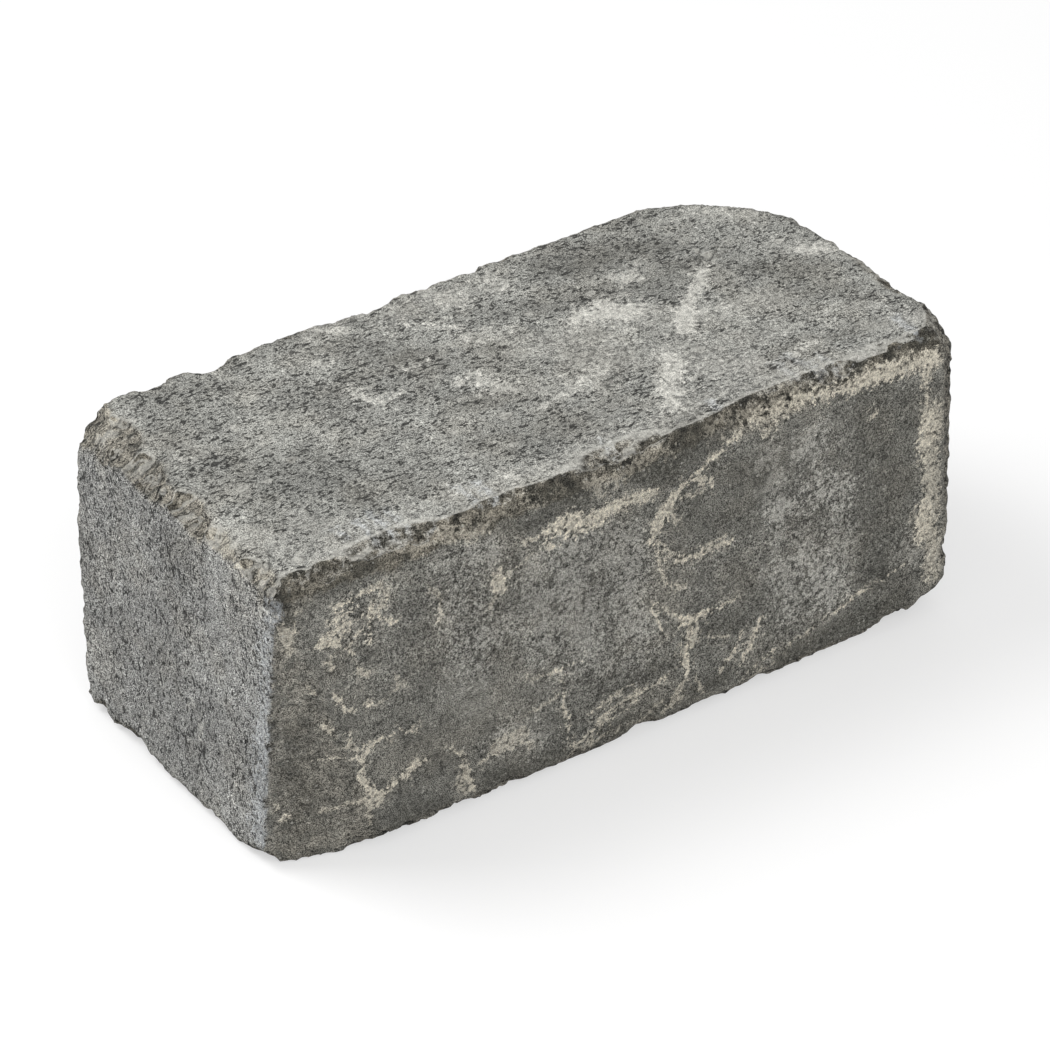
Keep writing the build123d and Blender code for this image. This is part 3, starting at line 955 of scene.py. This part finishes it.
def stone_material(finish):
    """Charcoal concrete, open-pored on the top and ends, with lime and clay scuffed on."""
    material = bpy.data.materials.new("Tumbled concrete")
    weave = Weave(material)
    metres = weave.node("ShaderNodeTexCoord").outputs["Object"]
    place = weave.scaled(metres, 1 / MM)
    normal = weave.node("ShaderNodeNewGeometry").outputs["Normal"]
    normal_x, normal_y, _ = weave.node("ShaderNodeSeparateXYZ", {0: normal}).outputs
    place_z = weave.node("ShaderNodeSeparateXYZ", {0: place}).outputs[2]
    top = high_corner[Z]

    # Noise at five sizes: sand, grit, mottling, rock where an arris is broken, and clouds
    fine = weave.spread(weave.noise(place, sand_size, 0.0))
    middling = weave.spread(weave.noise(place, grit_size, 2.0, 0.6))
    mottle = weave.spread(weave.noise(place, mottle_size, 2.0, 0.55))
    ridged = weave.stretched(place, (0.45, 1.0, 0.45))
    rock = weave.spread(weave.noise(ridged, rock_size, 4.0, 0.65), 0.36, 0.64)
    cloud = weave.spread(weave.noise(place, cloud_size, 3.0, 0.5))

    # The bevel starts at a sharp crest, and ends unevenly on the front
    outward = weave.times(normal_y, -1.0)
    uneven_height = weave.plus(place_z, weave.times(mottle, 1.8))
    uneven_height = weave.plus(uneven_height, weave.times(cloud, 1.5))
    bevel = weave.rise(uneven_height, top - bevel_height, top - bevel_height + bevel_fade)
    bevel = weave.times(bevel, weave.rise(outward, 0.25, 0.45))
    broken = weave.layer("broken")
    skin = weave.rise(weave.math("ABSOLUTE", normal_y), 0.5, 0.85)
    skin = weave.math("MAXIMUM", weave.times(skin, weave.rise(broken, 0.9, 0.4)), bevel)
    on_end = weave.rise(weave.math("ABSOLUTE", normal_x), 0.6, 0.9)

    def by_face(open_value, skin_value):
        """A value that changes from the open faces to the skin."""
        return weave.rise(skin, 0.0, 1.0, open_value, skin_value, "LINEAR")

    def weighed_by_face(*parts):
        """The sum of values, each with its weights on the open faces and on the skin."""
        return weave.weighed((value, by_face(*weights)) for value, *weights in parts)

    pores, bright_specks = open_pores(weave, place, mottle, cloud, by_face(0.7, 0.3))

    # How bright the concrete is: each step of toned doubles it. The pores and crevices are
    # darkened, partly for their own darker inside and partly as painted shade in them
    toned = weighed_by_face(
        (middling, 0.18, 0.22), (mottle, 0.22, 0.28), (cloud, 0.3, 0.25), (pores, -2.4, -0.85),
        (bright_specks, 0.42, 0.5),
    )
    toned = weave.plus(toned, by_face(0.2, 0.06))
    sandy = weave.rise(on_end, 0.0, 1.0, by_face(0.7, 0.8), 1.05, "LINEAR")
    grain = weave.plus(weave.times(fine, sandy), 1.0)
    brightness = weave.times(weave.math("POWER", 2.0, toned), grain)

    colour = weave.mix(on_end, finish.open_face, finish.end_face)
    colour = weave.mix(skin, colour, finish.skin)
    warmth = weave.rise(weave.noise(place, warm_size, 3.0, 0.6), 0.42, 0.66)
    colour = weave.mix(weave.times(warmth, 0.25), colour, finish.warm)
    crumbly = weave.mix(weave.rise(rock, -0.9, 0.5), finish.dark_and_shade, finish.warm)
    colour = weave.mix(weave.times(broken, 0.85), colour, crumbly)
    rubble = weave.mix(weave.rise(mottle, -1.0, 0.8), finish.dark_and_shade, finish.broken)
    rubble = weave.scaled(rubble, weave.rise(rock, -1.0, 1.0, 0.6, 1.4, "LINEAR"))
    colour = weave.mix(weave.times(bevel, 0.9), colour, rubble)
    colour = weave.scaled(colour, brightness)

    flecks = weave.weighed([(middling, 0.9), (mottle, 0.5), (fine, 0.2), (pores, -0.6)])
    # The scuffs' tint is darker in the pores: painted shade in them
    speckle = weave.weighed([(fine, 0.45), (pores, -1.0), (middling, 0.3)])
    speckle = weave.math("POWER", 2.0, speckle)
    worn_thin = weave.rise(weave.noise(place, 1.7, 3.0, 0.7), 0.36, 0.6, 0.35, 1.0)
    colour = scuffed(weave, finish, colour, flecks, speckle, worn_thin)

    # Pale pebbles, painted shade in the hollows, and lime along the crest of the front top
    # arris
    pebbles = weave.rise(weave.cells(place, pebble_size), 0.22, 0.1)
    pebbles = weave.times(pebbles, weave.rise(weave.noise(place, 4.0, 0.0), 0.54, 0.6))
    colour = weave.mix(weave.times(pebbles, 0.55), colour, finish.sand)
    # Painted shade: darker where the mesh is sunk in a hollow
    sunk = weave.rise(weave.layer("hollow"), 0.2, 1.0)
    colour = weave.mix(weave.times(sunk, 0.4), colour, finish.hollow_shade)
    crest = weave.times(weave.rise(outward, 0.06, 0.16), weave.rise(outward, 0.4, 0.25))
    crest = weave.times(crest, weave.rise(place_z, top - 8.0, top - 4.0))
    colour = weave.mix(weave.times(crest, 0.5), colour, finish.lime)

    # Relief: the grains stand up, and the gaps and pores are sunk
    relief = weighed_by_face(
        (fine, 0.1, 0.04), (middling, 0.32, 0.12), (mottle, 0.4, 0.1), (pores, -0.7, -0.25),
    )
    relief = weave.plus(relief, weave.times(rock, broken, 0.6))
    height = weave.times(relief, MM)
    bump = weave.node("ShaderNodeBump", {"Height": height, "Distance": 1.0, "Strength": 1.0})
    shader = weave.node("ShaderNodeBsdfPrincipled", {
        "Base Color": colour, "Normal": bump.outputs[0],
        "Roughness": weave.rise(cloud, -1.0, 1.0, 0.84, 0.97),
        "Specular IOR Level": 0.25,
    })
    weave.node("ShaderNodeOutputMaterial", {"Surface": shader.outputs[0]})
    return material


class WALLBLOCK_OT_stone(bpy.types.Operator):
    """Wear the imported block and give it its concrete"""

    bl_idname = "wall_block.stone"
    bl_label = "Make the Block"
    bl_options = {"REGISTER", "UNDO"}

    def execute(self, context):
        stone = even_mesh(context.scene.wall_block_shape.grid)
        wear(stone, context.scene.wall_block_shape)
        stone.data.materials.clear()
        stone.data.materials.append(stone_material(context.scene.wall_block_finish))
        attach(stone, "root")
        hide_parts(NODE)
        squares = len(stone.data.polygons)
        if squares > most_squares:
            raise RuntimeError(f"the block has {squares} squares, over {most_squares}")
        return {"FINISHED"}


def floor_material(colour):
    """A pale floor that shows as white and keeps the block's shadow."""
    material = bpy.data.materials.new("Floor")
    weave = Weave(material)
    glow = weave.node("ShaderNodeEmission", {"Strength": weave.times(weave.seen(), 0.5)})
    matt = weave.node("ShaderNodeBsdfDiffuse", {"Color": (*colour, 1)})
    both = weave.node("ShaderNodeAddShader", {0: matt.outputs[0], 1: glow.outputs[0]})
    weave.node("ShaderNodeOutputMaterial", {"Surface": both.outputs[0]})
    return material


def lamp(name, towards, power, size, distance):
    """Hangs a square lamp that shines on the block from a direction."""
    data = bpy.data.lights.new(name, "AREA")
    data.energy = power
    data.size = size
    made = bpy.data.objects.new(name, data)
    way = Vector(towards).normalized()
    made.location = Vector((0, 0, middle[Z] * MM)) + way * distance
    made.rotation_euler = way.to_track_quat("Z", "Y").to_euler()
    bpy.context.scene.collection.objects.link(made)


class WALLBLOCK_OT_stage(bpy.types.Operator):
    """Lay the floor, hang the lamps and set the camera"""

    bl_idname = "wall_block.stage"
    bl_label = "Set the Stage"
    bl_options = {"REGISTER", "UNDO"}

    def execute(self, context):
        stage = context.scene.wall_block_stage
        scene = context.scene
        scene.view_settings.view_transform = "Standard"

        bpy.ops.mesh.primitive_plane_add(size=floor_size)
        floor = context.object
        floor.name = "floor"
        floor.data.materials.append(floor_material(stage.floor_colour))

        scene.world = bpy.data.worlds.new("Studio")
        weave = Weave(scene.world)
        strength = weave.rise(weave.seen(), 0.0, 1.0, stage.sky, 1.0, "LINEAR")
        sky = weave.node("ShaderNodeBackground", {"Color": (1, 1, 1, 1), "Strength": strength})
        weave.node("ShaderNodeOutputWorld", {"Surface": sky.outputs[0]})

        powers = {"key": stage.key_power, "fill": stage.fill_power}
        for name, (towards, size, distance) in lamps.items():
            lamp(name, towards, powers[name], size, distance)

        flat, down = math.cos(stage.elevation), math.sin(stage.elevation)
        forward = Vector((flat * math.sin(stage.azimuth), flat * math.cos(stage.azimuth), -down))
        data = bpy.data.cameras.new("camera")
        data.sensor_width = picture_width
        data.lens = stage.lens
        camera = bpy.data.objects.new("camera", data)
        camera.location = Vector(stage.look_at) - forward * stage.distance
        camera.rotation_euler = forward.to_track_quat("-Z", "Y").to_euler()
        scene.collection.objects.link(camera)
        scene.camera = camera
        return {"FINISHED"}


class VIEW3D_PT_wall_block(bpy.types.Panel):
    """Lists what makes the block, and its settings"""

    bl_label = "Wall Block"
    bl_space_type = "VIEW_3D"
    bl_region_type = "UI"
    bl_category = "Wall Block"

    def draw(self, context):
        scene = context.scene
        parts = (
            (WALLBLOCK_OT_stone, (scene.wall_block_shape, scene.wall_block_finish)),
            (WALLBLOCK_OT_stage, (scene.wall_block_stage,)),
        )
        for operator, settings in parts:
            box = self.layout.box()
            box.operator(operator.bl_idname)
            for group in settings:
                for name in type(group).__annotations__:
                    box.prop(group, name)


classes = (
    WallBlockShape,
    WallBlockFinish,
    WallBlockStage,
    WALLBLOCK_OT_stone,
    WALLBLOCK_OT_stage,
    VIEW3D_PT_wall_block,
)


def register():
    for made in classes:
        bpy.utils.register_class(made)
    bpy.types.Scene.wall_block_shape = PointerProperty(type=WallBlockShape)
    bpy.types.Scene.wall_block_finish = PointerProperty(type=WallBlockFinish)
    bpy.types.Scene.wall_block_stage = PointerProperty(type=WallBlockStage)


def unregister():
    del bpy.types.Scene.wall_block_stage
    del bpy.types.Scene.wall_block_finish
    del bpy.types.Scene.wall_block_shape
    for made in reversed(classes):
        bpy.utils.unregister_class(made)


def main():
    register()
    bpy.ops.wall_block.stone()
    bpy.ops.wall_block.stage()


if __name__ == "__main__":
    main()
